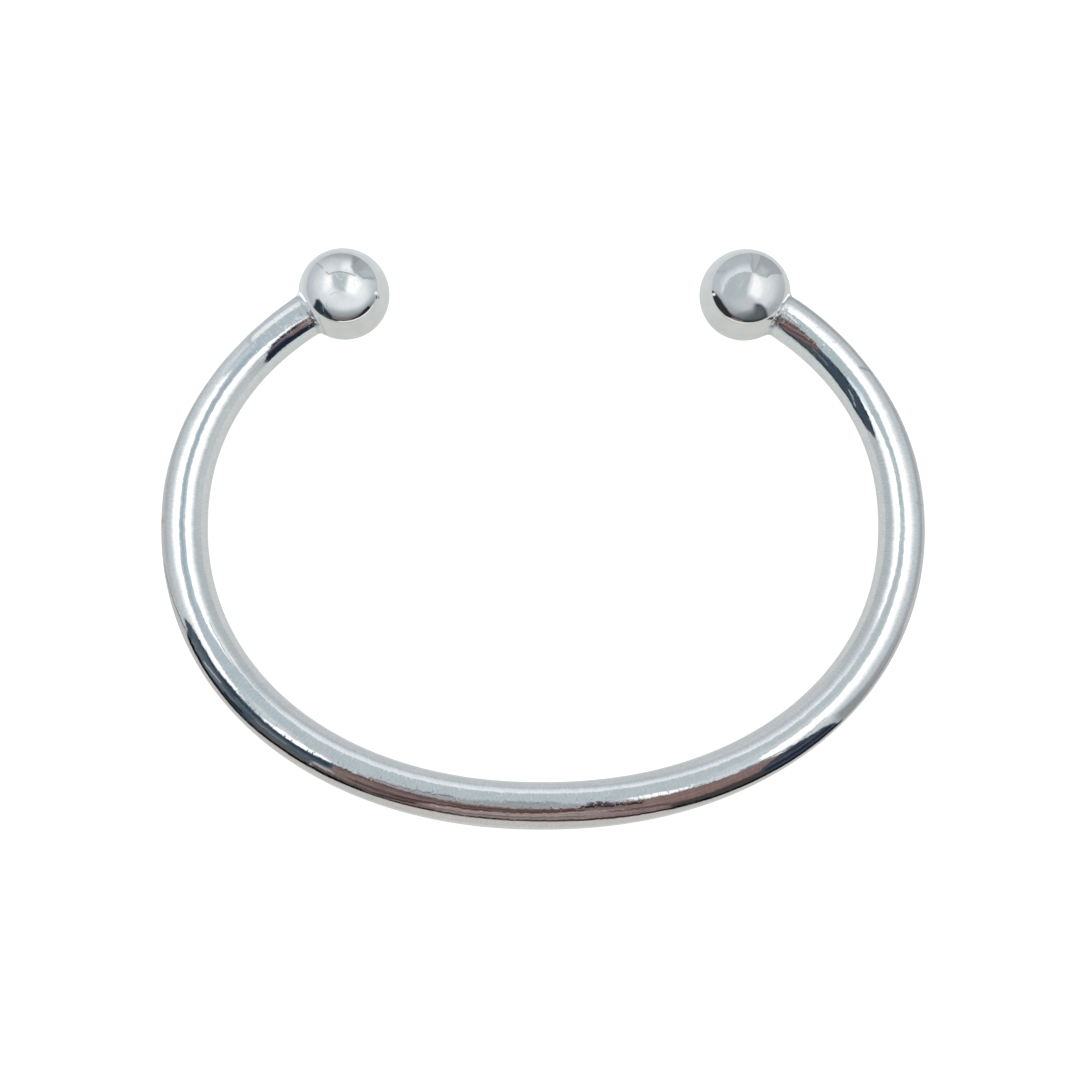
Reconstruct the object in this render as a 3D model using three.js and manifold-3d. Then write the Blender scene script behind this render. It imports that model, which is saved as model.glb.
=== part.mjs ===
// A torque bangle: one oval of round silver wire, open at the front, with a ball soldered on each end.
// Millimetres, +Z up, the opening towards +Y. It lies on its side on z = 0, on both balls and on the
// back of the wire, and the origin is under the middle of its bounding box.

import * as THREE from "three";
import { mergeVertices } from "three/addons/utils/BufferGeometryUtils.js";
import Module from "manifold-3d";

// Driving dimensions
const wireDiameter = 3.9;
const ballDiameter = 8;
const halfWidth = 30.9; // from the middle of the oval to the wire's centreline at a side
const backDepth = 24.6; // from the oval's widest line to the centreline at the back
const frontDepth = 23.7; // from the widest line to where the oval would close at the front
const ovalPower = 2.12; // 2 is an ellipse, and more is fuller towards the corners
const opening = 27.5; // clear space between the two balls
const openingShift = 0.2; // how far the opening sits off centre, towards +X
const solderRadius = 0.45; // of the concave solder joint between the wire and a ball
const solderLip = 0.03; // how far the solder's edge stands off the wire

// Facets
const wireSides = 18;
const wireSteps = 104;
const ballSides = 28; // a multiple of 4, so that a column of facets faces straight down
const ballBands = 17; // odd, so that a band of facets lies on the ball's middle
const solderSides = 24;
const solderSteps = 4;

const wireRadius = wireDiameter / 2;
const ballRadius = ballDiameter / 2;

const silver = new THREE.MeshStandardMaterial({
  color: 0xdfe1e2,
  roughness: 0.12,
  metalness: 1,
});

const wasm = await Module();
wasm.setup();

// The centreline from the left ball's centre, round the back, to the right ball's centre: a superellipse
// whose front and back halves have their own depth.
class OvalWire extends THREE.Curve {
  constructor(leftX, rightX) {
    super();
    this.from = -Math.PI - this.angleAt(leftX);
    this.to = this.angleAt(rightX);
  }

  // The angle at which the front half of the oval stands x away from the middle.
  angleAt(x) {
    return Math.acos(Math.pow(Math.abs(x) / halfWidth, ovalPower / 2));
  }

  getPoint(t, target = new THREE.Vector3()) {
    const angle = THREE.MathUtils.lerp(this.from, this.to, t);
    const depth = Math.sin(angle) < 0 ? backDepth : frontDepth;
    return target.set(
      halfWidth * shaped(Math.cos(angle)),
      depth * shaped(Math.sin(angle)),
      0,
    );
  }
}

// A sine or cosine drawn out from a circle's to the oval's fuller corners.
function shaped(value) {
  return Math.sign(value) * Math.pow(Math.abs(value), 2 / ovalPower);
}

// A closed geometry as a solid, placed by a matrix.
function solid(geometry, matrix) {
  const bare = new THREE.BufferGeometry();
  bare.setAttribute("position", geometry.getAttribute("position"));
  bare.setIndex(geometry.index);
  bare.applyMatrix4(matrix);
  const merged = mergeVertices(bare);
  return new wasm.Manifold(
    new wasm.Mesh({
      numProp: 3,
      vertProperties: new Float32Array(merged.attributes.position.array),
      triVerts: new Uint32Array(merged.index.array),
    }),
  );
}

// A solid back as a geometry that three.js can draw.
function geometryOf(body) {
  const mesh = body.getMesh();
  const geometry = new THREE.BufferGeometry();
  geometry.setAttribute(
    "position",
    new THREE.BufferAttribute(new Float32Array(mesh.vertProperties), 3),
  );
  geometry.setIndex(new THREE.BufferAttribute(new Uint32Array(mesh.triVerts), 1));
  geometry.computeVertexNormals();
  return geometry;
}

// The round wire, swept along its centreline with one flat side of its section facing down.
function wireGeometry(path) {
  const section = new THREE.Shape();
  for (let i = 0; i < wireSides; i++) {
    const turn = ((i + 0.5) / wireSides) * 2 * Math.PI;
    const x = wireRadius * Math.cos(turn);
    const y = wireRadius * Math.sin(turn);
    if (i === 0) section.moveTo(x, y);
    else section.lineTo(x, y);
  }
  section.closePath();
  return new THREE.ExtrudeGeometry(section, {
    steps: wireSteps,
    bevelEnabled: false,
    extrudePath: path,
  });
}

// A ball with one facet of its middle band facing straight down.
function ballGeometry() {
  const ball = new THREE.SphereGeometry(ballRadius, ballSides, ballBands);
  ball.rotateY(Math.PI / ballSides);
  ball.rotateZ(Math.PI / 2);
  return ball;
}

// How far the ball's lowest facet lies under its centre.
const facetDrop =
  ballRadius *
  Math.cos(Math.PI / ballSides) *
  Math.cos(Math.PI / 2 / ballBands);

// The solder joint, turned about the wire's end: a fillet that touches both the ball and the wire.
function solderGeometry() {
  const reach = Math.sqrt(
    (ballRadius + solderRadius) ** 2 - (wireRadius + solderRadius) ** 2,
  );
  const ballTouch = Math.atan2(-reach, -(wireRadius + solderRadius));
  const profile = [new THREE.Vector2(0, 0)];
  for (let i = 0; i <= solderSteps; i++) {
    const turn = THREE.MathUtils.lerp(ballTouch, -Math.PI, i / solderSteps);
    profile.push(
      new THREE.Vector2(
        wireRadius + solderLip + solderRadius * (1 + Math.cos(turn)),
        reach + solderRadius * Math.sin(turn),
      ),
    );
  }
  profile.push(new THREE.Vector2(0, reach));
  return new THREE.LatheGeometry(profile, solderSides);
}

// Lays the oval down: it turns about the back of the wire until the balls, which are thicker, touch too.
function layDown(ballY) {
  const lean = Math.asin((facetDrop - wireRadius) / (ballY + backDepth));
  return new THREE.Matrix4()
    .makeTranslation(0, -backDepth, wireRadius)
    .multiply(new THREE.Matrix4().makeRotationX(lean))
    .multiply(new THREE.Matrix4().makeTranslation(0, backDepth, 0));
}

function bangleGeometry() {
  const ballOut = opening / 2 + ballRadius;
  const path = new OvalWire(ballOut - openingShift, ballOut + openingShift);
  path.arcLengthDivisions = 2000;
  const length = path.getLength();
  const ends = [path.getPointAt(0), path.getPointAt(1)];
  const lying = layDown((ends[0].y + ends[1].y) / 2);

  let body = solid(wireGeometry(path), lying);
  ends.forEach((end, i) => {
    const share = ballRadius / length;
    const onWire = path.getPointAt(i === 0 ? share : 1 - share);
    const centre = end.clone().applyMatrix4(lying);
    const along = onWire.applyMatrix4(lying).sub(centre).normalize();
    const turn = new THREE.Quaternion().setFromUnitVectors(
      new THREE.Vector3(0, 1, 0),
      along,
    );
    const one = new THREE.Vector3(1, 1, 1);
    body = body
      .add(solid(ballGeometry(), new THREE.Matrix4().setPosition(centre)))
      .add(
        solid(solderGeometry(), new THREE.Matrix4().compose(centre, turn, one)),
      );
  });
  return geometryOf(body);
}

const geometry = bangleGeometry();
geometry.computeBoundingBox();
const box = geometry.boundingBox;
const middle = box.getCenter(new THREE.Vector3());
geometry.translate(-middle.x, -middle.y, -box.min.z);

const bangle = new THREE.Mesh(geometry, silver);
bangle.name = "torque_bangle";

const part = new THREE.Group();
part.add(bangle);

export default part;
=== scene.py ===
"""A silver torque bangle lying on a pale floor under soft studio light.

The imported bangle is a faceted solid. This script puts a finely meshed one in its place, made from the same
driving sizes, with the ball, the solder joint and the wire as one smooth surface at each end. Polished silver
shows little but its surroundings, so most of the script is the studio: painted cards, curved closely round
the wire and round each ball, which only reflections see.
"""

import math

import bmesh
import bpy
import numpy as np
from mathutils import Euler, Matrix, Vector


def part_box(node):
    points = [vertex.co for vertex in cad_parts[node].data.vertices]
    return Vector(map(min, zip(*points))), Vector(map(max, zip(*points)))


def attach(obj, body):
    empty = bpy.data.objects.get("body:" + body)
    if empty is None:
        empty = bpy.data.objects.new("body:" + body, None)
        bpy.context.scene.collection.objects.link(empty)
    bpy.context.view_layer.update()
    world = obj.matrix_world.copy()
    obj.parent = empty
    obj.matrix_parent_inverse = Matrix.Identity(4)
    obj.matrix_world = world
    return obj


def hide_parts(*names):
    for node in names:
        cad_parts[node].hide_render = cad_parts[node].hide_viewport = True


MM = 0.001

# Driving sizes of the bangle, in millimetres
WIRE_RADIUS = 1.95
BALL_RADIUS = 4.0
HALF_WIDTH = 30.9
BACK_DEPTH = 24.6
FRONT_DEPTH = 23.7
OVAL_POWER = 2.12
OPENING = 27.5
OPENING_SHIFT = 0.2
SOLDER_RADIUS = 0.45

# Mesh fineness
RING_SIDES = 96
RING_STEP = 0.25
LINE_POINTS = 6001
BALL_RINGS = 64
SOLDER_RINGS = 10

# The camera stands over the bangle, a little to its back, and looks down at it
PHOTO_SIDE = 1080
FOCAL_PIXELS = 1400
CAMERA_TILT = math.radians(12)
CAMERA_TURN = math.radians(-0.2)
CAMERA_DISTANCE = 123.5
CAMERA_TARGET = (-0.27, -0.22, 0.0)
CAMERA_TURNED = Euler((CAMERA_TILT, 0, CAMERA_TURN))
CAMERA_BACK = CAMERA_TURNED.to_matrix() @ Vector((0, 0, 1))
CAMERA_PLACE = Vector(CAMERA_TARGET) + CAMERA_BACK * CAMERA_DISTANCE
SENSOR_WIDTH = 36.0

# The card round the wire, in millimetres and degrees. It ends short of the balls' centres, and reaches down
# to the same angle on both sides of the wire's top.
SLEEVE_RADIUS = 5.0
SLEEVE_MARGIN = 2.0
SLEEVE_STEP = 0.14
SLEEVE_REACH = 78.0
SLEEVE_TURN_STEP = 0.6

# The card round each ball, with a hole for the wire
SHELL_RADIUS = 4.3
SHELL_HOLE = 2.15
SHELL_REACH = 87.0
SHELL_RINGS = 175
SHELL_TURN_STEP = 1.5

# The floor, from its middle to an edge, and how far the card that only the silver sees lies under it
FLOOR_HALF = 1500.0
FLOOR_CARD_DROP = 0.02

# Screen colours of the studio. A lamp is brighter than white.
FLOOR_GREY = (199, 202, 199)
SURROUND = (226, 230, 233)
LAMP = (276, 276, 276)


# Colours

def linear(screen):
    """Screen values from 0 to 255 in linear light, for one colour or an array of them."""
    value = np.asarray(screen, float) / 255
    return np.where(value <= 0.04045, value / 12.92, ((value + 0.055) / 1.055) ** 2.4)


def opaque(screen):
    return (*linear(screen), 1.0)


# The oval

def shaped(value):
    """A sine or cosine drawn out from a circle's to the oval's fuller corners."""
    return math.copysign(abs(value) ** (2 / OVAL_POWER), value)


def oval_angle(x):
    """The angle at which the front half of the oval stands x away from the middle."""
    return math.acos((x / HALF_WIDTH) ** (OVAL_POWER / 2))


def oval_point(angle):
    depth = BACK_DEPTH if math.sin(angle) < 0 else FRONT_DEPTH
    return (HALF_WIDTH * shaped(math.cos(angle)), depth * shaped(math.sin(angle)), 0.0)


class Centreline:
    """The middle of the wire, from the left ball's centre round the back to the right ball's."""

    def __init__(self):
        ball_out = OPENING / 2 + BALL_RADIUS
        start = -math.pi - oval_angle(ball_out - OPENING_SHIFT)
        end = oval_angle(ball_out + OPENING_SHIFT)
        self.points = np.array([oval_point(angle) for angle in np.linspace(start, end, LINE_POINTS)])
        steps = np.linalg.norm(np.diff(self.points, axis=0), axis=1)
        self.lengths = np.concatenate([[0.0], np.cumsum(steps)])
        self.length = float(self.lengths[-1])

    def spots(self, distances):
        """The points that lie this far along the line."""
        return np.stack([np.interp(distances, self.lengths, self.points[:, axis]) for axis in range(3)], -1)

    def at(self, distance):
        return Vector(self.spots(distance))

    def direction(self, distance):
        reach = 0.05
        return (self.at(distance + reach) - self.at(distance - reach)).normalized()


# The bangle's surface, as rings from one ball's far pole to the other's

def end_profile():
    """(distance along the end's axis from the ball's centre, radius) pairs, from the far pole to the wire."""
    rho = SOLDER_RADIUS
    reach = math.sqrt((BALL_RADIUS + rho) ** 2 - (WIRE_RADIUS + rho) ** 2)
    touch = math.atan2(WIRE_RADIUS + rho, reach)
    profile = []
    for i in range(1, BALL_RINGS + 1):
        turn = math.pi - (math.pi - touch) * i / BALL_RINGS
        profile.append((BALL_RADIUS * math.cos(turn), BALL_RADIUS * math.sin(turn)))
    first = math.pi + touch
    last = 3 * math.pi / 2
    for i in range(1, SOLDER_RINGS + 1):
        turn = first + (last - first) * i / SOLDER_RINGS
        profile.append((reach + rho * math.cos(turn), WIRE_RADIUS + rho + rho * math.sin(turn)))
    return profile


def bangle_rings(line):
    """Each ring of the bangle: its centre, its direction along the piece, its radius and its place."""
    profile = end_profile()
    first, last = line.at(0.0), line.at(line.length)
    left_axis = (line.at(BALL_RADIUS) - first).normalized()
    right_axis = (line.at(line.length - BALL_RADIUS) - last).normalized()
    rings = [(first + left_axis * along, left_axis, radius, along) for along, radius in profile]
    wire_from = profile[-1][0] + 2 * RING_STEP
    steps = round((line.length - 2 * wire_from) / RING_STEP)
    for distance in np.linspace(wire_from, line.length - wire_from, steps + 1):
        rings.append((line.at(distance), line.direction(distance), WIRE_RADIUS, float(distance)))
    for along, radius in reversed(profile):
        rings.append((last + right_axis * along, -right_axis, radius, line.length - along))
    return rings


def bangle_mesh(line):
    """The whole surface, lying in the plane of the wire, in millimetres."""
    rings = bangle_rings(line)
    shape = bmesh.new()
    grain = shape.loops.layers.uv.new("Grain")
    up = Vector((0, 0, 1))
    rows = []
    for centre, along, radius, _ in rings:
        out = along.cross(up)
        row = []
        for k in range(RING_SIDES):
            turn = 2 * math.pi * k / RING_SIDES
            row.append(shape.verts.new(centre + radius * (out * math.cos(turn) + up * math.sin(turn))))
        rows.append(row)
    first_pole = shape.verts.new(line.at(0.0) - rings[0][1] * BALL_RADIUS)
    last_pole = shape.verts.new(line.at(line.length) + rings[-1][1] * BALL_RADIUS)

    girth = 2 * math.pi * WIRE_RADIUS

    def place(loop, distance, column):
        loop[grain].uv = (distance, girth * column / RING_SIDES)

    for i in range(len(rows) - 1):
        for k in range(RING_SIDES):
            n = (k + 1) % RING_SIDES
            face = shape.faces.new((rows[i][k], rows[i + 1][k], rows[i + 1][n], rows[i][n]))
            spots = ((i, k), (i + 1, k), (i + 1, k + 1), (i, k + 1))
            for loop, (row, column) in zip(face.loops, spots):
                place(loop, rings[row][3], column)
    poles = (
        (first_pole, rows[0], (0, 1, 2), -BALL_RADIUS),
        (last_pole, rows[-1], (0, 2, 1), line.length + BALL_RADIUS),
    )
    for k in range(RING_SIDES):
        n = (k + 1) % RING_SIDES
        for pole, row, order, at in poles:
            corners = [pole, row[k], row[n]]
            face = shape.faces.new([corners[j] for j in order])
            for loop in face.loops:
                place(loop, at, k)
    bmesh.ops.recalc_face_normals(shape, faces=shape.faces)
    for face in shape.faces:
        face.smooth = True
    return shape


def lay_down(shape, line):
    """Turns the bangle about the back of the wire until both balls touch the floor, and centres it on the
    packed one. Returns the whole move, in millimetres.
    """
    ball_y = (line.at(0.0).y + line.at(line.length).y) / 2
    lean = math.asin((BALL_RADIUS - WIRE_RADIUS) / (ball_y + BACK_DEPTH))
    turn = Matrix.Rotation(lean, 4, "X") @ Matrix.Translation((0, BACK_DEPTH, 0))
    bmesh.ops.transform(shape, matrix=turn, verts=shape.verts)
    low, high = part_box("torque_bangle")
    corners = [[pick(vertex.co[i] for vertex in shape.verts) for i in range(3)] for pick in (min, max)]
    middle = [(a + b) / 2 for a, b in zip(*corners)]
    shift = Vector(
        (
            (low.x + high.x) / 2 / MM - middle[0],
            (low.y + high.y) / 2 / MM - middle[1],
            low.z / MM - corners[0][2],
        )
    )
    bmesh.ops.translate(shape, vec=shift, verts=shape.verts)
    return Matrix.Translation(shift) @ turn


def make_bangle(line):
    """Makes the bangle, and returns the move that lays its centreline down."""
    shape = bangle_mesh(line)
    lying = lay_down(shape, line)
    bmesh.ops.scale(shape, vec=(MM, MM, MM), verts=shape.verts)
    mesh = bpy.data.meshes.new("bangle")
    shape.to_mesh(mesh)
    shape.free()
    bangle = bpy.data.objects.new("bangle", mesh)
    bpy.context.scene.collection.objects.link(bangle)
    mesh.materials.append(silver_material(line.length))
    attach(bangle, "root")
    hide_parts("torque_bangle")
    return lying


# The silver

class Nodes:
    """Adds linked shader nodes to one tree."""

    def __init__(self, tree):
        self.tree = tree

    def add(self, kind, inputs=None, **settings):
        """A new node. An input is given by name or number, as a value or as another node's output."""
        node = self.tree.nodes.new(kind)
        for name, value in settings.items():
            setattr(node, name, value)
        for name, value in (inputs or {}).items():
            if isinstance(value, bpy.types.NodeSocket):
                self.tree.links.new(value, node.inputs[name])
            else:
                node.inputs[name].default_value = value
        return node

    def math(self, operation, first, second=0.0):
        return self.add("ShaderNodeMath", {0: first, 1: second}, operation=operation).outputs[0]

    def ramp(self, value, low, high, to_low=0.0, to_high=1.0):
        """A smooth step from one value to another."""
        inputs = {"Value": value, "From Min": low, "From Max": high, "To Min": to_low, "To Max": to_high}
        return self.add("ShaderNodeMapRange", inputs, interpolation_type="SMOOTHSTEP").outputs[0]

    def near(self, value, middle, full, faded, least=0.0):
        """1 where the value is this close to the middle, which fades to the least further off."""
        apart = self.math("ABSOLUTE", self.math("SUBTRACT", value, middle))
        return self.ramp(apart, full, faded, 1.0, least)

    def stretched(self, place, along, around):
        """The grain's coordinates, with this many repeats in a millimetre along the piece and around it."""
        return self.add("ShaderNodeMapping", {"Vector": place, "Scale": (along, around, 1.0)}).outputs[0]

    def blend(self, share, first, second):
        inputs = {"Factor": share, "A": first, "B": second}
        return self.add("ShaderNodeMix", inputs, data_type="RGBA").outputs[2]

    def bump(self, height, depth, under=None):
        """A bump with its depth in millimetres, laid over another one."""
        inputs = {"Strength": 1.0, "Distance": depth * MM, "Height": height}
        if under:
            inputs["Normal"] = under
        return self.add("ShaderNodeBump", inputs).outputs[0]

    def noise(self, place, detail=2.0, roughness=0.5):
        inputs = {"Vector": place, "Scale": 1.0, "Detail": detail, "Roughness": roughness}
        return self.add("ShaderNodeTexNoise", inputs, noise_dimensions="2D").outputs[0]


def silver_material(length):
    material = bpy.data.materials.new("silver")
    material.use_nodes = True
    nodes = Nodes(material.node_tree)
    shader = material.node_tree.nodes["Principled BSDF"]
    shader.inputs["Metallic"].default_value = 1.0

    place = nodes.add("ShaderNodeUVMap", uv_map="Grain").outputs[0]
    sides = nodes.add("ShaderNodeSeparateXYZ", {0: place})
    along, around = sides.outputs["X"], sides.outputs["Y"]
    from_end = nodes.math("MINIMUM", along, nodes.math("SUBTRACT", length, along))

    # Pits round the solder joints
    grit = nodes.noise(nodes.stretched(place, 2.9, 2.4), 3.0, 0.6)
    at_joint = nodes.near(from_end, 4.0, 0.1, 0.7)
    upper = nodes.near(around, 3.6, 0.6, 1.4, 0.3)
    pits = nodes.math("MULTIPLY", nodes.ramp(grit, 0.56, 0.68), nodes.math("MULTIPLY", at_joint, upper))
    solder = nodes.near(from_end, 3.6, 0.08, 0.3)

    bump = silver_bump(nodes, place, along, around, from_end, pits)
    tone = silver_tone(nodes, place, along, around, from_end, pits, solder, grit)
    haze = nodes.ramp(nodes.noise(nodes.stretched(place, 0.5, 1.3), 2.0), 0.3, 0.7, 0.035, 0.085)
    dull = nodes.math("MULTIPLY", nodes.math("MAXIMUM", pits, solder), 0.2)
    nodes.tree.links.new(bump, shader.inputs["Normal"])
    nodes.tree.links.new(tone, shader.inputs["Base Color"])
    nodes.tree.links.new(nodes.math("ADD", haze, dull), shader.inputs["Roughness"])
    return material


def silver_bump(nodes, place, along, around, from_end, pits):
    # Marks of the polishing wheel across the wire, fine ones and broad ones
    fine = nodes.noise(nodes.stretched(place, 3.6, 0.8), 3.0, 0.6)
    bump = nodes.bump(fine, 0.0034)
    broad = nodes.noise(nodes.stretched(place, 0.7, 0.22), 1.0, 0.5)
    bump = nodes.bump(broad, 0.007, bump)

    # Hairline scratches, which run along the wire
    hair = nodes.noise(nodes.stretched(place, 0.16, 7.0), 2.0, 0.6)
    bump = nodes.bump(nodes.near(hair, 0.5, 0.0, 0.012), 0.0009, bump)

    # Small nicks on the top of the back and beside the ends, which catch the light
    back = nodes.near(along, 62.0, 16.0, 25.0)
    ends = nodes.ramp(from_end, 7.0, 12.0, 1.0, 0.0)
    top = nodes.near(around, 3.4, 0.4, 0.9)
    worn = nodes.math("MULTIPLY", nodes.math("MAXIMUM", back, ends), top)
    spots = nodes.noise(nodes.stretched(place, 4.5, 1.5), 1.0, 0.5)
    nicks = nodes.math("MULTIPLY", nodes.ramp(spots, 0.64, 0.72), worn)
    bump = nodes.bump(nicks, 0.02, bump)
    return nodes.bump(pits, -0.02, bump)


def silver_tone(nodes, place, along, around, from_end, pits, solder, grit):
    # Faint streaks across the wire, and blotches
    streaks = nodes.noise(nodes.stretched(place, 6.0, 2.4), 2.0, 0.6)
    blotches = nodes.noise(nodes.stretched(place, 0.8, 0.9), 3.0, 0.55)
    on_wire = nodes.ramp(from_end, 3.4, 4.6, 0.25, 1.0)
    grain = nodes.math("MULTIPLY", nodes.math("SUBTRACT", streaks, 0.5), on_wire)
    grain = nodes.math("ADD", grain, nodes.math("MULTIPLY", nodes.math("SUBTRACT", blotches, 0.5), 0.6))
    tone = nodes.blend(nodes.ramp(grain, -0.2, 0.2), (0.91, 0.913, 0.915, 1), (0.99, 0.99, 0.99, 1))

    # Greyer solder, with dull pits and tarnish low on its inner side
    tone = nodes.blend(nodes.math("MULTIPLY", solder, 0.8), tone, (0.8, 0.81, 0.83, 1))
    tone = nodes.blend(nodes.math("MULTIPLY", pits, 0.6), tone, (0.5, 0.48, 0.46, 1))
    inner = nodes.near(around, 4.3, 0.5, 1.1)
    seam = nodes.near(from_end, 3.5, 0.1, 0.3)
    tarnish = nodes.math("MULTIPLY", nodes.math("MULTIPLY", inner, seam), nodes.ramp(grit, 0.4, 0.54))
    tone = nodes.blend(nodes.math("MULTIPLY", tarnish, 0.85), tone, (0.13, 0.12, 0.12, 1))

    # A small yellowish stain on the outer side of the left half
    stain = nodes.math("ABSOLUTE", nodes.math("SUBTRACT", along, 26.0))
    stain = nodes.math("ADD", stain, nodes.math("ABSOLUTE", nodes.math("SUBTRACT", around, 0.9)))
    return nodes.blend(nodes.ramp(stain, 0.3, 0.8, 0.85, 0.0), tone, (0.72, 0.6, 0.38, 1))


# The studio: glowing cards painted with the silver's reflections, which only reflections see

def stage_object(name, mesh, material):
    thing = bpy.data.objects.new(name, mesh)
    bpy.context.scene.collection.objects.link(thing)
    mesh.materials.append(material)
    return thing


def show_only_in_reflections(thing):
    thing.visible_camera = False
    thing.visible_diffuse = False
    thing.visible_shadow = False
    thing.visible_transmission = False


def plate(name, half):
    mesh = bpy.data.meshes.new(name)
    corners = [(-half, -half, 0), (half, -half, 0), (half, half, 0), (-half, half, 0)]
    mesh.from_pydata(corners, [], [(0, 1, 2, 3)])
    return mesh


def glow(name):
    """A card that gives off light. Its colour is painted on its points."""
    material = bpy.data.materials.new(name)
    material.use_nodes = True
    material.cycles.emission_sampling = "NONE"
    nodes = Nodes(material.node_tree)
    nodes.tree.nodes.clear()
    paint = nodes.add("ShaderNodeAttribute", attribute_name="Paint").outputs["Color"]
    light = nodes.add("ShaderNodeEmission", {"Color": paint, "Strength": 1.0}).outputs[0]
    nodes.add("ShaderNodeOutputMaterial", {"Surface": light})
    return material


def painted_card(name, places, colours, closed=False, left_out=None):
    """A card from a grid of points in millimetres and their screen colours, without the points left out."""
    rows, columns = places.shape[:2]
    index = np.arange(rows * columns).reshape(rows, columns)
    beside = np.roll(index, -1, axis=1)
    faces = np.stack([index[:-1], beside[:-1], beside[1:], index[1:]], -1)
    if not closed:
        faces = faces[:, :-1]
    faces = faces.reshape(-1, 4)
    if left_out is not None:
        faces = faces[~left_out.ravel()[faces].any(axis=1)]
    mesh = bpy.data.meshes.new(name)
    mesh.from_pydata((places * MM).reshape(-1, 3).tolist(), [], faces.tolist())
    paint = mesh.attributes.new("Paint", "FLOAT_COLOR", "POINT")
    values = np.ones((rows, columns, 4), np.float32)
    values[..., :3] = linear(colours)
    paint.data.foreach_set("color", values.ravel())
    card = stage_object(name, mesh, glow(name + "_glow"))
    show_only_in_reflections(card)
    return card


def dot(a, b):
    return np.sum(a * b, axis=-1, keepdims=True)


def bounced(spots, normals):
    """The directions in which the camera's look at a mirror goes on."""
    looks = np.array(CAMERA_PLACE) - spots
    looks /= np.linalg.norm(looks, axis=-1, keepdims=True)
    return 2 * dot(looks, normals) * normals - looks


def to_radius(slope, square, radius, outer):
    """How far to go from a round surface to a rounder one about the same middle."""
    return (-slope + np.sqrt(slope * slope + square * (outer**2 - radius**2))) / square


def rise(value, edge, soft):
    """0 before the edge and 1 after it, over a soft step this far to each side."""
    share = np.clip((value - edge) / (2 * soft) + 0.5, 0, 1)
    return share * share * (3 - 2 * share)


class Paint:
    """Colours laid over one another on a card, in screen values.

    across and up are the card's two coordinates, and stretch is how many steps up are as long as one across.
    """

    def __init__(self, across, up, colour, stretch=1.0):
        self.across, self.up = np.broadcast_arrays(across, up)
        self.stretch = stretch
        self.colour = np.empty(self.across.shape + (3,))
        self.colour[:] = colour

    def placed_by(self, across, up):
        """The same colours, painted by other coordinates."""
        other = Paint(across, up, 0, self.stretch)
        other.colour = self.colour
        return other

    def ragged(self, depth, seed, step=0.22):
        """The same colours, painted with edges that wander up and down as they run across."""
        random = np.random.default_rng(seed)
        return self.placed_by(self.across, self.up + depth * wander(random, self.across, step))

    def cover(self, mask, colour):
        self.colour += mask[..., None] * (np.asarray(colour, float) - self.colour)

    def band(self, colour, stations, soft=(1.0, 1.0), ends=(1.0, 1.0)):
        """A band across the card. A station is a place across and the band's lower and upper edge there."""
        at, low, high = np.array(stations, float).T
        mask = rise(self.up, np.interp(self.across, at, low), soft[0])
        mask = mask * (1 - rise(self.up, np.interp(self.across, at, high), soft[1]))
        mask = mask * rise(self.across, at[0], ends[0]) * (1 - rise(self.across, at[-1], ends[1]))
        self.cover(mask, colour)

    def ring(self, colour, stations, soft=(1.0, 1.0), ends=(1.0, 1.0)):
        """A band round a middle, whose places across are degrees."""
        middle = (stations[0][0] + stations[-1][0]) / 2
        turned = (self.across - middle + 180) % 360 + middle - 180
        self.placed_by(turned, self.up).band(colour, stations, soft, ends)

    def spot(self, colour, centre, size, turn=0.0, soft=0.3):
        """An oval spot. soft is the share of its size over which it fades out."""
        turn = math.radians(turn)
        x, y = self.across - centre[0], self.up - centre[1]
        along = (x * math.cos(turn) + y * math.sin(turn)) / size[0]
        beside = (y * math.cos(turn) - x * math.sin(turn)) / size[1]
        self.cover(1 - rise(np.hypot(along, beside), 1.0, soft), colour)

    def line(self, colour, points, width, soft):
        """A line through the points."""
        self.cover(1 - rise(self.distance(points), width / 2, soft), colour)

    def patch(self, colour, points, soft):
        """A patch with the points as its corners."""
        closed = (*points, points[0])
        inside = np.zeros(self.across.shape, bool)
        for (x0, y0), (x1, y1) in zip(closed, closed[1:]):
            if y0 == y1:
                continue
            crossing = x0 + (self.up - y0) / (y1 - y0) * (x1 - x0)
            inside ^= ((self.up >= y0) != (self.up >= y1)) & (self.across < crossing)
        self.cover(1 - rise(np.where(inside, -1, 1) * self.distance(closed), 0.0, soft), colour)

    def distance(self, points):
        """How far each place on the card is from a line through the points."""
        nearest = np.full(self.across.shape, np.inf)
        for (x0, y0), (x1, y1) in zip(points, points[1:]):
            x, y = (x1 - x0) * self.stretch, y1 - y0
            off_x, off_y = (self.across - x0) * self.stretch, self.up - y0
            share = np.clip((off_x * x + off_y * y) / (x * x + y * y), 0, 1)
            nearest = np.minimum(nearest, np.hypot(off_x - share * x, off_y - share * y))
        return nearest


def wander(random, value, step):
    """A wandering number between about -1 and 1, with a new target at each step of the value."""
    first = math.floor(value.min() / step)
    count = math.ceil(value.max() / step) - first + 2
    return np.interp(value / step - first, np.arange(count), random.uniform(-1, 1, count))


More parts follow.
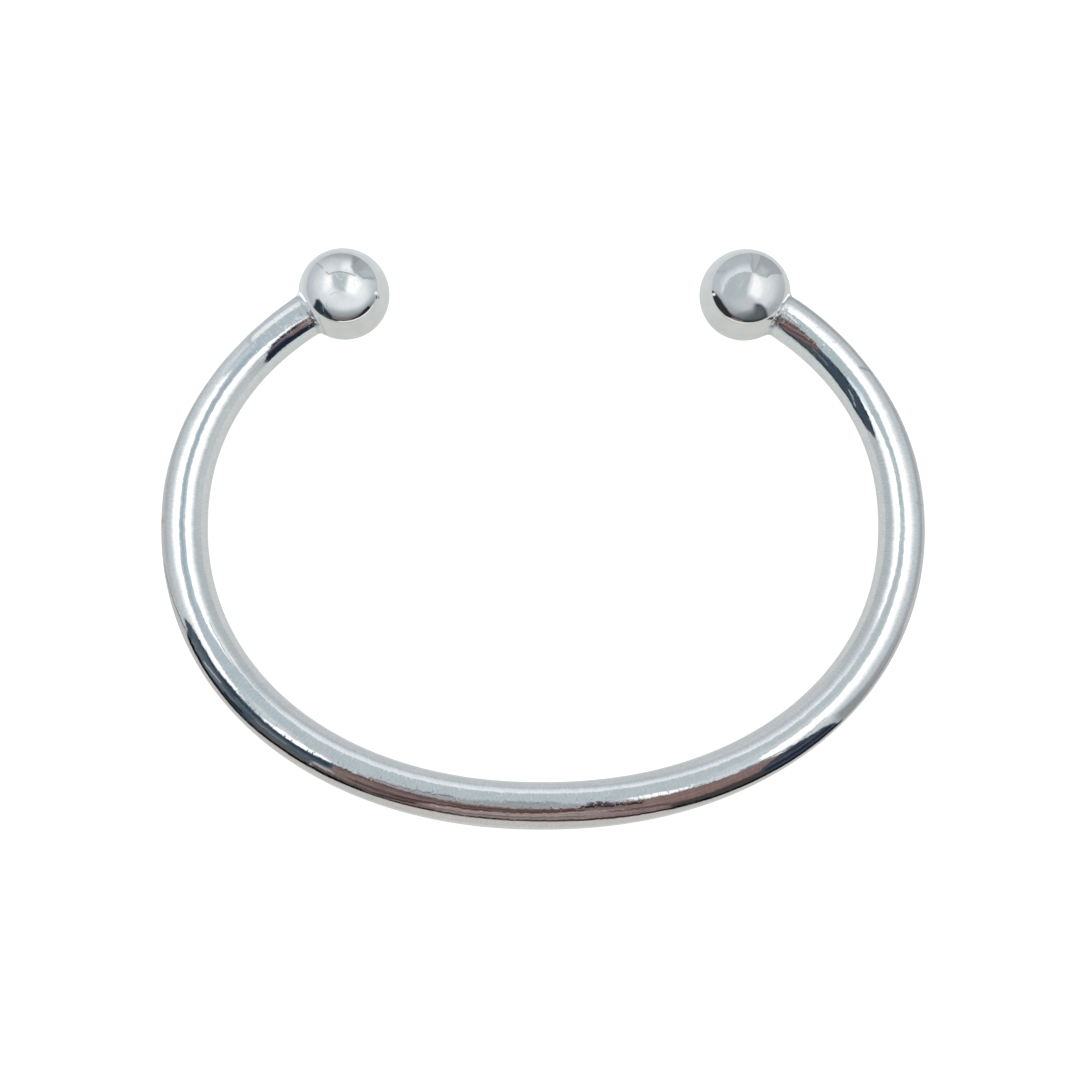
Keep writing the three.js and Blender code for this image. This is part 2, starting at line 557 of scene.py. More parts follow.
def paint_sleeve(along, angle):
    """The wire's painted reflection, by the place along it in millimetres and the angle round its section.

    The top of the wire is at 0 degrees, the inner side below 0 and the outer side above.
    """
    paint = Paint(along, angle, (190, 198, 203), stretch=10)
    rough = paint.ragged(1.2, 1)
    paint.band((200, 205, 206), ((-50, -200, -57), (200, -200, -57)), (1, 1.5))
    rough.band((178, 185, 188), ((-50, -57, -38), (200, -57, -38)), (1.5, 5))
    rough.band((192, 198, 200), ((12, -56, -42), (28, -56, -42)), (2, 6), (4, 4))
    rough.band((197, 200, 203), ((83, -58, -44), (98, -56, -44)), (2, 5), (4, 4))
    paint.band((189, 195, 199), (
        (42, -200, -50), (52, -200, -50), (84, -200, -50), (96, -200, -50),
    ), (1, 4), (5, 5))
    paint_outer_side(paint, rough)
    paint_lamp_bands(paint, rough)
    paint_dark_back(paint)
    paint_dark_ends(paint)
    paint_bright_floor(paint)
    return paint.colour


def paint_outer_side(paint, rough):
    """What lies beyond the outer lamp, and darkens towards the floor."""
    paint.band((208, 215, 219), ((-50, 8, 28), (200, 8, 28)), (4, 9))
    paint.band((194, 202, 207), ((-50, 20, 34), (200, 20, 34)), (5, 7))
    paint.band((174, 179, 182), ((-50, 33, 49), (200, 33, 49)), (9, 3))
    rough.band((191, 191, 190), ((-50, 51, 200), (200, 51, 200)), (2.5, 1))
    paint.patch((142, 147, 150), ((95.2, 26), (98, 33), (104, 38), (104, 52), (99, 58), (95.2, 62)), 5)
    paint.band((160, 166, 170), ((100, 37, 47), (112, 37, 46), (124, 27, 37), (136, 28, 47)), (6, 4), (4, 3))
    paint.band((190, 196, 200), ((119, 16, 30), (126, 15, 30), (136, 20, 32)), (4, 6), (4, 1))
    rough.line((136, 141, 146), ((127, 13), (126.7, 24), (126.1, 40)), 2.2, 1.6)
    paint.line((156, 161, 164), ((114.6, 28), (114.4, 52)), 1.5, 2)
    paint.patch((234, 238, 240), ((3.8, 8.5), (9, 9.5), (9, 17), (8.6, 23), (3.8, 21)), 3)
    paint.band((186, 194, 202), ((3, 26, 36), (9, 26, 36)), (4, 5), (0.3, 1))
    rough.line((172, 180, 190), ((9.2, 10), (9.1, 24), (8.2, 38)), 2, 1.6)


def paint_lamp_bands(paint, rough):
    """The white lamps, one towards each side, and the blue-grey gap between them."""
    rough.band((223, 230, 234), (
        (44, -36, -28), (50, -40, -27), (56, -43, -31), (66, -45, -32), (72, -44, -32.5), (80, -38, -29),
        (90, -31, -22), (100, -29, -23), (106, -32, -26),
    ), (6, 1.5), (3, 3))
    rough.band((232, 237, 241), (
        (50, -32, -28), (56, -35, -31), (66, -36, -32), (72, -36, -32.5), (80, -33, -29), (90, -27, -22.5),
        (98, -29, -25),
    ), (3, 1.5), (3, 3))
    rough.band(LAMP, (
        (3.8, -28, -25), (6, -29, -22), (8.6, -31, -19), (14, -33, -17), (20, -34, -16), (26, -32, -15.5),
        (32, -30, -15), (36, -28, -17), (39, -29, -22), (41, -28, -26),
    ), (8, 1), (0.3, 2))
    rough.line((236, 242, 246), ((39, -31), (43, -29), (47, -30), (52, -31)), 2, 1)
    rough.line((150, 158, 163), ((35.5, -26), (39, -25.8), (44, -24.4), (46, -23)), 1.6, 1)
    rough.band(LAMP, (
        (103, -26, -23.5), (106, -29, -21.5), (109, -31, -19), (112, -33, -17.5), (118, -36, -19),
        (123, -35, -25), (125.5, -31, -28),
    ), (6, 1), (2, 1))
    rough.band((178, 191, 198), (
        (3.8, -25, 7), (6, -22, 7), (8.6, -19, 6), (9, -17.5, -2), (14, -16.5, -4), (24, -13.5, -2),
        (32, -14.5, 0), (36, -18, 0), (39, -23, 1), (42, -25, 1), (50, -26, 1),
    ), (1.5, 1.5), (0.3, 2))
    rough.band((158, 176, 186), (
        (9, -14, -8), (14, -14, -8), (20, -12, -6), (28, -10, -4), (34, -9, -2),
    ), (2.5, 3), (1, 4))
    rough.patch((205, 212, 214), ((42, -4), (47, -5), (52, -4), (52, 2), (44, 3)), 4)
    rough.band((182, 193, 197), (
        (48, -27, 1), (54, -29, 0), (62, -30, -4), (72, -31, -6), (80, -28, -3), (90, -21, -1),
        (96, -21, -6), (104, -19, -8),
    ), (1.5, 2), (2, 2))
    rough.band((200, 206, 208), ((84, -9, -2), (90, -9, -2), (98, -9, -4)), (3, 2), (4, 4))
    rough.band((176, 190, 194), (
        (102, -19, -9), (110, -16, -9), (115, -17.5, -8.5), (120, -21, -11), (124, -27, -11.5),
        (128, -29, -10), (131, -28, -8), (136, -22, -2),
    ), (1.5, 1.5), (2, 0.5))
    rough.patch((218, 234, 246), ((123.5, -29), (126.5, -30), (127, -25), (125, -22), (123.5, -23)), 1.5)
    rough.band(LAMP, (
        (11, 0, 4), (14, -3, 8), (20, -3, 14), (26, -1, 17), (30, 1, 15), (36, 2, 12), (39, 3, 13),
        (42, 5, 11),
    ), (1.5, 7), (2.5, 1))
    rough.line((150, 166, 168), ((3.8, 6.5), (8, 8.3), (10.5, 8.6), (12.7, 7.4)), 1.6, 1.2)
    rough.patch((190, 202, 208), ((9, -3), (11.5, -3.5), (13, 5), (12.4, 9), (9, 8.5)), 1.5)
    rough.patch(LAMP, (
        (44.4, 11), (45.6, 6), (47, 3.6), (48.5, 2.5), (50.8, 2), (51.6, 4.5), (51, 9), (48, 14), (45, 14),
    ), 1.2)
    rough.band(LAMP, (
        (87.5, 3, 9), (89, 0, 13), (92, -1, 14), (98, -3, 14), (104, -4, 13.5), (112, -6, 12.5),
        (120, -10, 7), (128, -8, 10.5), (135, -3, 12),
    ), (1.5, 8), (0.8, 0.3))


def paint_dark_back(paint):
    """The dark which the outer side of the bangle's back mirrors, with streaks that run along the wire."""
    rough = paint.ragged(1.4, 2, 0.16)
    wild = paint.ragged(2.6, 3, 0.2)
    paint_blurred_edge(paint, rough, wild)
    paint_brown_middle(paint, rough, wild)
    paint_navy_left(rough)
    paint_navy_right(rough)
    paint_floor_edge(paint)


def paint_blurred_edge(paint, rough, wild):
    """Where the dark's upper edge breaks up into grey."""
    speckled = paint.ragged(4, 7, 0.11)
    speckled.patch((156, 159, 161), (
        (54, 2), (57.8, -2), (60, -4), (62, -6), (66, -8), (70, -8), (72, -5), (72.8, -1), (76, 0), (77, 7),
        (72, 10), (60, 10), (54, 10),
    ), 3)
    wild.line((140, 152, 162), ((66.4, -8), (68.5, -9.5), (70.6, -9)), 3, 2)
    speckled.line((112, 124, 136), ((67, -7.5), (69.5, -7.5), (71, -8.5)), 1.2, 1)
    wild.line((112, 100, 110), ((55, 2), (57, 0), (59.5, -3.5), (62, -6)), 2.2, 1.4)
    rough.patch((206, 213, 219), ((81.5, -2), (85, -1), (88, 2), (88, 10), (84, 7)), 2)


def paint_brown_middle(paint, rough, wild):
    random = np.random.default_rng(4)
    rough.patch((119, 103, 101), (
        (51.9, 6.5), (53, 6), (56, 4), (60, 5), (66, 5), (72.8, 6), (73.5, -2.5), (75, 0), (78, 5),
        (82, 6.5), (84, 8), (86.4, 11), (88.5, 14), (90, 20), (89, 54), (82, 51), (78.6, 46), (74.4, 42.5),
        (70.5, 40.5), (64, 39.5), (58, 42), (50.5, 46), (50, 26), (52, 19.6),
    ), 0.9)
    rough.patch((138, 124, 121), ((59, 25), (63, 22), (70, 19), (75, 21), (78, 29), (72, 34), (62, 35)), 3)
    rough.patch((127, 106, 103), ((77.5, 9), (84, 11), (88.5, 19), (88, 27), (84, 31), (80, 28), (76, 17)), 3)
    rough.patch((124, 112, 105), ((52.3, 13), (55.5, 14), (55, 22), (52.5, 23)), 2)
    rough.patch((84, 68, 68), ((53, 20), (57, 19), (60, 22), (59, 27), (54, 27)), 3)
    rough.line((92, 74, 73), ((52, 8.5), (56, 7.5), (60, 9), (66, 9.5), (72, 9.5)), 4, 1.5)
    rough.line((62, 44, 43), (
        (57.5, 21.5), (60.3, 18.5), (62.1, 16.8), (66, 15.8), (69.2, 14.5), (72.8, 11.5),
    ), 2.8, 1.2)
    rough.line((84, 66, 65), ((62, 12.8), (66, 12), (70, 11.6)), 1.4, 1)
    rough.line((172, 156, 154), (
        (60.5, 23), (63, 21), (66, 20), (70.5, 18.7), (73, 16.8), (76, 19.5),
    ), 2.6, 1.2)
    rough.line((106, 92, 90), ((61, 28), (66, 27), (73, 27)), 2, 1.5)
    rough.line((160, 146, 143), ((63, 24.5), (68, 23.8), (74, 24)), 1.6, 1.2)
    rough.line((48, 38, 37), ((53.5, 34), (55.5, 34.5), (57, 32), (59, 29)), 4, 2)
    rough.line((74, 62, 60), ((75, 21), (78.6, 26.5), (81, 33), (83.8, 40)), 3, 2)
    rough.patch((64, 60, 59), ((79.8, 33), (85, 30.5), (88, 34), (89, 53), (85, 52), (80, 45.5)), 3)
    rough.patch((86, 83, 80), ((50.3, 31), (54, 33), (57, 36), (54, 41), (50.3, 42)), 1.5)
    streaks = 1 + 0.17 * wander(random, paint.up + 0.25 * paint.across, 0.9)
    streaks += 0.05 * wander(random, paint.across, 0.16)
    shade = Paint(paint.across, paint.up, 0, paint.stretch)
    shade.patch((1, 1, 1), ((51, 5), (73, 4), (90, 16), (89, 52), (78, 44), (66, 38), (50.5, 44)), 1.5)
    paint.colour *= 1 + shade.colour * (streaks[..., None] - 1)
    rough.line((36, 28, 28), (
        (54.7, 41.3), (58, 38.8), (62, 37.1), (66, 36.3), (70.5, 37), (74.4, 39), (78.6, 43.2),
        (80.5, 45.5),
    ), 4.6, 1.2)
    wild.line((30, 18, 22), ((72.7, 4.5), (75, 7.5), (77.6, 10)), 4, 1.2)
    wild.patch((74, 62, 76), ((73.2, -5), (74.9, -4), (75.2, 4), (73.3, 5)), 1)
    # A painted highlight, brighter than white, at the dark's upper edge
    rough.patch((266, 266, 266), (
        (76.5, -4.6), (79.6, -3.5), (80.8, 0), (82.2, 0.4), (81.8, 4.3), (79.6, 4.4), (78, 3), (76.8, -1),
    ), 0.6)
    wild.line((150, 146, 155), ((75.3, 2), (76.5, 5)), 1.5, 1)


def paint_navy_left(rough):
    rough.patch((66, 80, 91), (
        (34.4, 25.6), (34.9, 19.5), (36.2, 15), (40, 13.5), (41.3, 11.3), (44.4, 11.3), (46.5, 13),
        (48, 11.6), (50, 9), (51.9, 6.9), (52, 19.6), (50, 25.6), (50.2, 45), (47.7, 48), (44.9, 51),
        (42.9, 52), (40, 51), (37.2, 49), (35.5, 44), (35.2, 35), (34.2, 29.7),
    ), 0.7)
    rough.patch((84, 97, 107), ((35, 23), (38, 21), (41, 23), (40, 27), (36, 28)), 2)
    rough.patch((46, 60, 74), (
        (36.5, 16), (44, 13.5), (50, 11), (51.5, 9.5), (51.5, 16), (46, 18), (40, 20),
    ), 2)
    rough.patch((84, 97, 106), ((42, 21), (50, 20), (50, 27), (42, 27)), 2)
    rough.patch((102, 110, 116), ((35.9, 30), (40, 27), (43, 29), (42, 36), (39, 39.5), (36.2, 39)), 2.5)
    rough.patch((88, 91, 92), ((44.3, 30), (50, 29), (50.1, 39), (46, 41), (44, 38)), 2)
    rough.patch((166, 166, 172), ((50.1, 25.5), (51.9, 23.6), (52.2, 28.5), (50.4, 31)), 0.8)
    rough.line((130, 140, 145), ((44.6, 27.5), (47.6, 25.2)), 2.2, 0.9)
    # A painted highlight inside the navy
    rough.line((205, 220, 224), ((38.2, 34.5), (38.8, 30.5), (40.2, 28)), 1.8, 0.8)
    rough.patch((30, 34, 48), ((41, 36), (43.2, 35.5), (43.4, 41), (41.2, 42)), 1.2)
    rough.line((4, 6, 6), (
        (36, 43.5), (37.2, 45.6), (40, 47), (42.9, 48.6), (45.4, 47.4), (47.7, 44.6), (51.9, 42.3),
        (54.5, 41),
    ), 8, 1.2)
    rough.line((222, 230, 226), ((33.8, 19), (34.6, 16), (35.6, 13.6)), 1.6, 1.2)
    rough.line((216, 222, 219), ((32.3, 44), (34.6, 37)), 2, 1.2)
    rough.line((104, 107, 103), ((29.5, 58), (31, 54.5), (32.3, 50), (33.4, 44.5), (35, 40)), 2.8, 1.8)


def paint_navy_right(rough):
    rough.patch((58, 66, 79), (
        (87.2, 36), (87.7, 30.4), (88.8, 23.2), (89.9, 19.2), (91.4, 18.8), (92.4, 23.5), (93.8, 29.3),
        (94.7, 39.6), (95.1, 60), (90, 59), (88.2, 56), (88.1, 45),
    ), 0.6)
    rough.line((26, 33, 46), ((88.2, 39), (91, 39.5), (94.3, 41)), 5, 2)
    rough.line((44, 51, 64), ((90.3, 24), (91.8, 30)), 3, 1.5)
    rough.line((84, 92, 104), ((88.4, 31), (92.5, 33)), 1.8, 1.4)
    rough.line((4, 6, 7), ((80.2, 46), (84, 50.3), (86.1, 52.4), (90, 54.8), (95, 56)), 8, 1.2)
    rough.line((52, 60, 68), ((86.2, 9), (89, 13.3), (91, 18.3)), 1.6, 1)
    rough.line((110, 116, 120), ((91.6, 18.3), (92.9, 16.6), (94.4, 14.8)), 1.2, 1)


def paint_floor_edge(paint):
    """The floor, which cuts the dark off below."""
    paint.band((193, 190, 188), (
        (35.6, 47.2, 200), (37.2, 49.6, 200), (40, 50.9, 200), (42.9, 53, 200), (44.9, 51.6, 200),
        (47.7, 48.5, 200), (51.9, 45.9, 200), (54.7, 43.7, 200), (58, 41.4, 200), (60.9, 39.7, 200),
        (66, 38.9, 200), (70.5, 39.6, 200), (74.4, 42.2, 200), (78.6, 46.8, 200), (82.2, 51.5, 200),
        (86.1, 56, 200), (90, 58.6, 200), (95, 59.8, 200),
    ), (0.7, 1), (0.8, 0.8))


def paint_dark_ends(paint):
    """The dark again, low on the inner side beside each ball."""
    rough = paint.ragged(1.2, 5, 0.16)
    rough.patch((30, 39, 52), (
        (3.6, -59), (5, -58), (7, -56.5), (9.5, -56.5), (9.6, -49), (9, -41), (6.1, -41.4), (3.6, -46),
    ), 0.9)
    rough.patch((60, 58, 72), ((6, -42), (9, -42), (8.6, -34), (6, -35)), 0.8)
    rough.patch((124, 104, 104), (
        (3.6, -46), (6.3, -43), (6.2, -36.6), (5.3, -34), (4.9, -27), (3.6, -27),
    ), 0.8)
    rough.patch((50, 46, 60), ((5.2, -34), (8.4, -34), (8, -28.5), (6.5, -26.5), (4.9, -27)), 0.9)
    rough.line((160, 152, 165), ((6.2, -37.5), (8.6, -36.2)), 1.3, 0.8)
    rough.line((128, 112, 112), ((8.4, -34.2), (11.2, -32.8)), 1.3, 0.9)
    rough.line((186, 172, 170), ((3.6, -39), (4.8, -36)), 1.6, 1)
    rough.line((74, 60, 60), ((3.7, -33), (5, -30)), 1.4, 1)

    rough.patch((62, 75, 88), (
        (120.7, -42), (121.5, -49.5), (122.2, -56), (124, -60), (127.4, -57.5), (130, -54.5), (133.3, -52),
        (135.5, -50.5), (135.5, -30), (131.5, -26.5), (130.2, -29), (127.4, -29.5), (124.7, -31.5),
        (122.2, -35.6),
    ), 0.9)
    rough.line((40, 44, 46), (
        (122.3, -54.5), (124.3, -57.8), (127.4, -55.6), (130, -52.6), (134, -50),
    ), 3, 1.4)
    rough.line((32, 42, 56), ((121.8, -39), (124.7, -33.5), (127.4, -31.5), (130.6, -31)), 2.8, 1.2)
    rough.patch((74, 79, 80), ((130.2, -51), (132.8, -50), (132.2, -39), (130.4, -37)), 1.5)
    rough.line((196, 210, 216), ((124.4, -51.5), (125.1, -47), (125.9, -43)), 1.8, 0.9)
    rough.line((128, 138, 146), ((129, -43.5), (131, -39.5)), 2, 1)
    rough.patch((116, 96, 97), (
        (130.2, -32), (132.1, -42), (134.2, -48), (135.5, -46), (135.5, -26), (133.6, -21), (131.2, -24),
    ), 0.9)
    rough.line((62, 46, 49), ((131, -29), (133.4, -38), (135.2, -42)), 2, 1)
    rough.line((150, 128, 128), ((131.8, -27), (134, -33), (135.2, -36)), 1.6, 0.9)
    rough.line((74, 58, 60), ((132.4, -24), (134.4, -29), (135.3, -31)), 1.4, 0.9)
    rough.line((40, 44, 46), ((134.2, -50), (134.9, -36), (134.9, -22)), 1.4, 1)
    wild = paint.ragged(3, 6, 0.12)
    wild.line((120, 126, 128), ((133, -19), (134.8, -15)), 2, 1)
    # Painted highlights: light streaks above the dark beside each ball
    wild.line((250, 252, 252), ((133.6, -14), (134.9, -8)), 2.4, 1.4)
    wild.line((226, 232, 236), ((4.3, -22), (4.9, -14), (4.6, -8)), 1.8, 1.2)
    wild.line((232, 238, 240), ((5.6, -23), (6.2, -18), (5.9, -12)), 1.8, 1.2)


def paint_bright_floor(paint):
    """The brightly lit floor, low on both sides of the wire."""
    paint.band(LAMP, (
        (-5, 60, 200), (3.2, 52, 200), (4.4, 44, 200), (7, 40, 200), (10, 37.5, 200), (13.8, 39.5, 200),
        (16.5, 45, 200), (20, 55, 200), (25, 77, 200),
    ), (4, 1))
    paint.band(LAMP, (
        (106, 86, 200), (111, 73, 200), (115, 63, 200), (118, 56.5, 200), (121, 50.5, 200),
        (124, 45.5, 200), (127, 43, 200), (130, 45.5, 200), (133, 50, 200), (138, 55, 200), (145, 60, 200),
    ), (4.5, 1))
    paint.band(LAMP, (
        (50, 84, 200), (55, 74, 200), (61, 67, 200), (67, 66, 200), (74, 69, 200), (83, 84, 200),
    ), (6, 1))


def make_sleeve(line, lying):
    """The card round the wire. Each of its points stands where the camera sees it mirrored in the wire."""
    alongs = np.arange(SLEEVE_MARGIN, line.length - SLEEVE_MARGIN, SLEEVE_STEP)[:, None]
    angles = np.arange(-SLEEVE_REACH, SLEEVE_REACH + 0.5, SLEEVE_TURN_STEP)[None, :]
    turned = np.array(lying.to_3x3())
    centre = line.spots(alongs[:, 0]) @ turned.T + np.array(lying.translation)
    ahead = np.gradient(centre, axis=0)
    ahead /= np.linalg.norm(ahead, axis=1, keepdims=True)
    up = turned @ (0, 0, 1)
    out = np.cross(ahead, up)
    turn = np.radians(angles)[..., None]
    normals = up * np.cos(turn) + out[:, None, :] * np.sin(turn)
    spots = centre[:, None, :] + normals * WIRE_RADIUS
    ways = bounced(spots, normals)
    flat = ways - dot(ways, ahead[:, None, :]) * ahead[:, None, :]
    reach = to_radius(WIRE_RADIUS * dot(normals, flat), dot(flat, flat), WIRE_RADIUS, SLEEVE_RADIUS)
    painted_card("wire_sleeve", spots + ways * reach, paint_sleeve(alongs, angles))


def polar(x, y, centre, size):
    """Places on a ball's disc, as an angle round the middle of an oval and a share of the oval's size."""
    u, v = (x - centre[0]) / size[0], (y - centre[1]) / size[1]
    return np.degrees(np.arctan2(v, u)), np.hypot(u, v)


def paint_left_ball(x, y):
    """The left ball's painted reflection, by the place on its disc: (0, 0) is the middle and 1 the rim."""
    paint = Paint(x, y, (189, 197, 202))
    rings = paint.placed_by(*polar(x, y, (-0.042, 0.146), (0.768, 0.734)))

    # The pale top, with the grey gap between its two lamps
    paint.spot((160, 168, 172), (-0.1, 0.87), (0.52, 0.16), soft=0.7)
    paint.spot((206, 212, 214), (-0.12, 0.6), (0.32, 0.17), soft=0.8)
    paint.spot((246, 249, 250), (0.08, 0.55), (0.13, 0.13), soft=0.8)
    paint.spot((218, 224, 226), (-0.32, 0.5), (0.16, 0.1), soft=0.8)
    paint.patch((181, 188, 197), (
        (-0.62, 0.62), (-0.52, 0.55), (-0.58, 0.3), (-0.62, 0), (-0.57, -0.2), (-0.8, -0.3), (-0.95, 0),
        (-0.8, 0.5),
    ), 0.1)
    paint.spot((178, 186, 191), (0.63, 0.08), (0.14, 0.36), soft=0.7)
    paint.spot((226, 231, 235), (-0.38, 0.16), (0.24, 0.32), soft=0.8)
    paint.patch((262, 262, 262), (
        (-0.42, 0.38), (-0.25, 0.43), (-0.22, 0.16), (-0.27, 0), (-0.42, 0.08),
    ), 0.08)
    paint.spot((236, 241, 243), (0.26, 0.06), (0.3, 0.36), turn=-15, soft=0.8)
    paint.patch((262, 262, 262), (
        (0.08, 0.39), (0.22, 0.39), (0.34, 0.32), (0.35, 0.2), (0.28, 0.08), (0.2, -0.04), (0.12, -0.12),
        (0.02, -0.06), (0.04, 0.14),
    ), 0.07)
    paint.patch((183, 193, 196), (
        (-0.24, 0.44), (-0.1, 0.47), (0, 0.46), (0.1, 0.42), (0.04, 0.2), (0.02, 0.06), (-0.14, 0.02),
        (-0.22, 0.12),
    ), 0.06)
    paint.spot((214, 219, 222), (-0.1, -0.06), (0.24, 0.1), soft=0.8)
    paint.spot((234, 237, 240), (-0.26, 0.02), (0.13, 0.12), soft=0.9)
    paint.spot((226, 231, 234), (0.02, -0.2), (0.3, 0.14), soft=0.9)
    paint.line((112, 122, 126), (
        (-0.37, 0.47), (-0.3, 0.42), (-0.22, 0.46), (-0.1, 0.475), (0, 0.465), (0.1, 0.445), (0.24, 0.39),
    ), 0.012, 0.014)
    paint.line((136, 144, 152), ((-0.66, 0.6), (-0.61, 0.66), (-0.53, 0.64), (-0.44, 0.55)), 0.014, 0.016)
    paint.line((186, 192, 196), ((-0.3, -0.02), (-0.2, 0.04), (-0.12, 0.02)), 0.01, 0.02)
    # Small painted glints
    for across, up in ((-0.5, 0.26), (-0.36, 0.2), (0.34, 0.12), (0.3, 0.24), (-0.05, 0.31)):
        paint.spot((250, 252, 252), (across, up), (0.011, 0.011), soft=0.9)

    # The grey shapes on the right
    paint.patch((165, 172, 176), (
        (0.17, 0.95), (0.4, 0.9), (0.6, 0.7), (0.74, 0.4), (0.71, 0.3), (0.41, 0.33), (0.24, 0.44),
        (0.17, 0.58), (0.2, 0.75),
    ), 0.035)
    paint.patch((180, 188, 191), ((0.28, 0.49), (0.4, 0.54), (0.6, 0.54), (0.66, 0.38), (0.42, 0.36)), 0.03)
    paint.patch((150, 156, 163), (
        (0.17, 0.95), (0.4, 0.9), (0.42, 0.8), (0.3, 0.72), (0.22, 0.64), (0.2, 0.75),
    ), 0.05)
    paint.line((132, 139, 146), ((0.23, 0.66), (0.33, 0.74), (0.41, 0.77), (0.52, 0.68)), 0.008, 0.014)
    paint.line((142, 150, 154), ((0.24, 0.46), (0.38, 0.52), (0.62, 0.53)), 0.006, 0.014)
    paint.line((132, 139, 144), ((0.41, 0.33), (0.53, 0.34), (0.72, 0.29)), 0.006, 0.014)

    # The dark low down, and its grey edge
    rings.ring((150, 157, 161), (
        (215, 0.8, 1.1), (240, 0.72, 1.1), (290, 0.72, 1.1), (330, 0.85, 1.1), (350, 0.95, 1.1),
    ), (0.13, 0.1), (8, 15))
    rings.ring((112, 114, 117), (
        (235, 0.86, 1.1), (260, 0.86, 1.1), (300, 0.87, 1.1), (330, 0.93, 1.1),
    ), (0.06, 0.1), (8, 8))
    rings.ring((126, 113, 114), ((248, 0.91, 1.1), (290, 0.92, 1.1)), (0.02, 0.1), (3, 3))
    rings.ring((42, 40, 44), (
        (246, 0.95, 1.1), (275, 0.96, 1.1), (296, 0.93, 1.1), (312, 0.89, 1.1), (323, 0.9, 1.1),
    ), (0.02, 0.1), (3, 1.5))
    paint.patch((44, 54, 63), (
        (-0.6, -0.11), (-0.54, -0.11), (-0.49, -0.18), (-0.41, -0.31), (-0.28, -0.46), (-0.24, -0.57),
        (-0.36, -0.54), (-0.48, -0.44), (-0.57, -0.48), (-0.67, -0.28), (-0.63, -0.2),
    ), 0.03)
    paint.line((92, 99, 101), ((-0.44, -0.43), (-0.36, -0.51)), 0.015, 0.02)
    paint.line((92, 101, 110), ((-0.5, -0.27), (-0.45, -0.36)), 0.01, 0.02)

    # The floor
    rings.ring(FLOOR_GREY, ((-5, 1.0, 9), (365, 1.0, 9)), (0.012, 1), (1, 1))
    rings.ring((252, 252, 250), (
        (262, 0.98, 1.01), (300, 0.985, 1.015), (330, 0.985, 1.01),
    ), (0.01, 0.012), (4, 4))
    rings.ring((170, 172, 170), (
        (246, 1.02, 1.035), (285, 1.03, 1.045), (300, 1.02, 1.03),
    ), (0.01, 0.015), (5, 12))
    rings.ring((205, 209, 210), ((-30, 1.0, 9), (210, 1.0, 9)), (0.012, 1), (25, 15))
    rings.ring((213, 218, 222), ((20, 1.12, 9), (90, 1.07, 9), (215, 1.1, 9)), (0.05, 1), (20, 20))
    paint.line((172, 173, 172), ((-0.56, -0.5), (-0.51, -0.66), (-0.43, -0.87)), 0.02, 0.03)
    # A painted highlight beside the wire's joint, with a small dark and a grey mark below it
    paint.spot((255, 255, 255), (0.685, 0.02), (0.035, 0.03), soft=0.5)
    paint.spot((70, 72, 74), (0.7, -0.07), (0.014, 0.035), soft=0.6)
    paint.spot((140, 142, 138), (0.745, -0.07), (0.014, 0.035), soft=0.6)
    return paint.colour


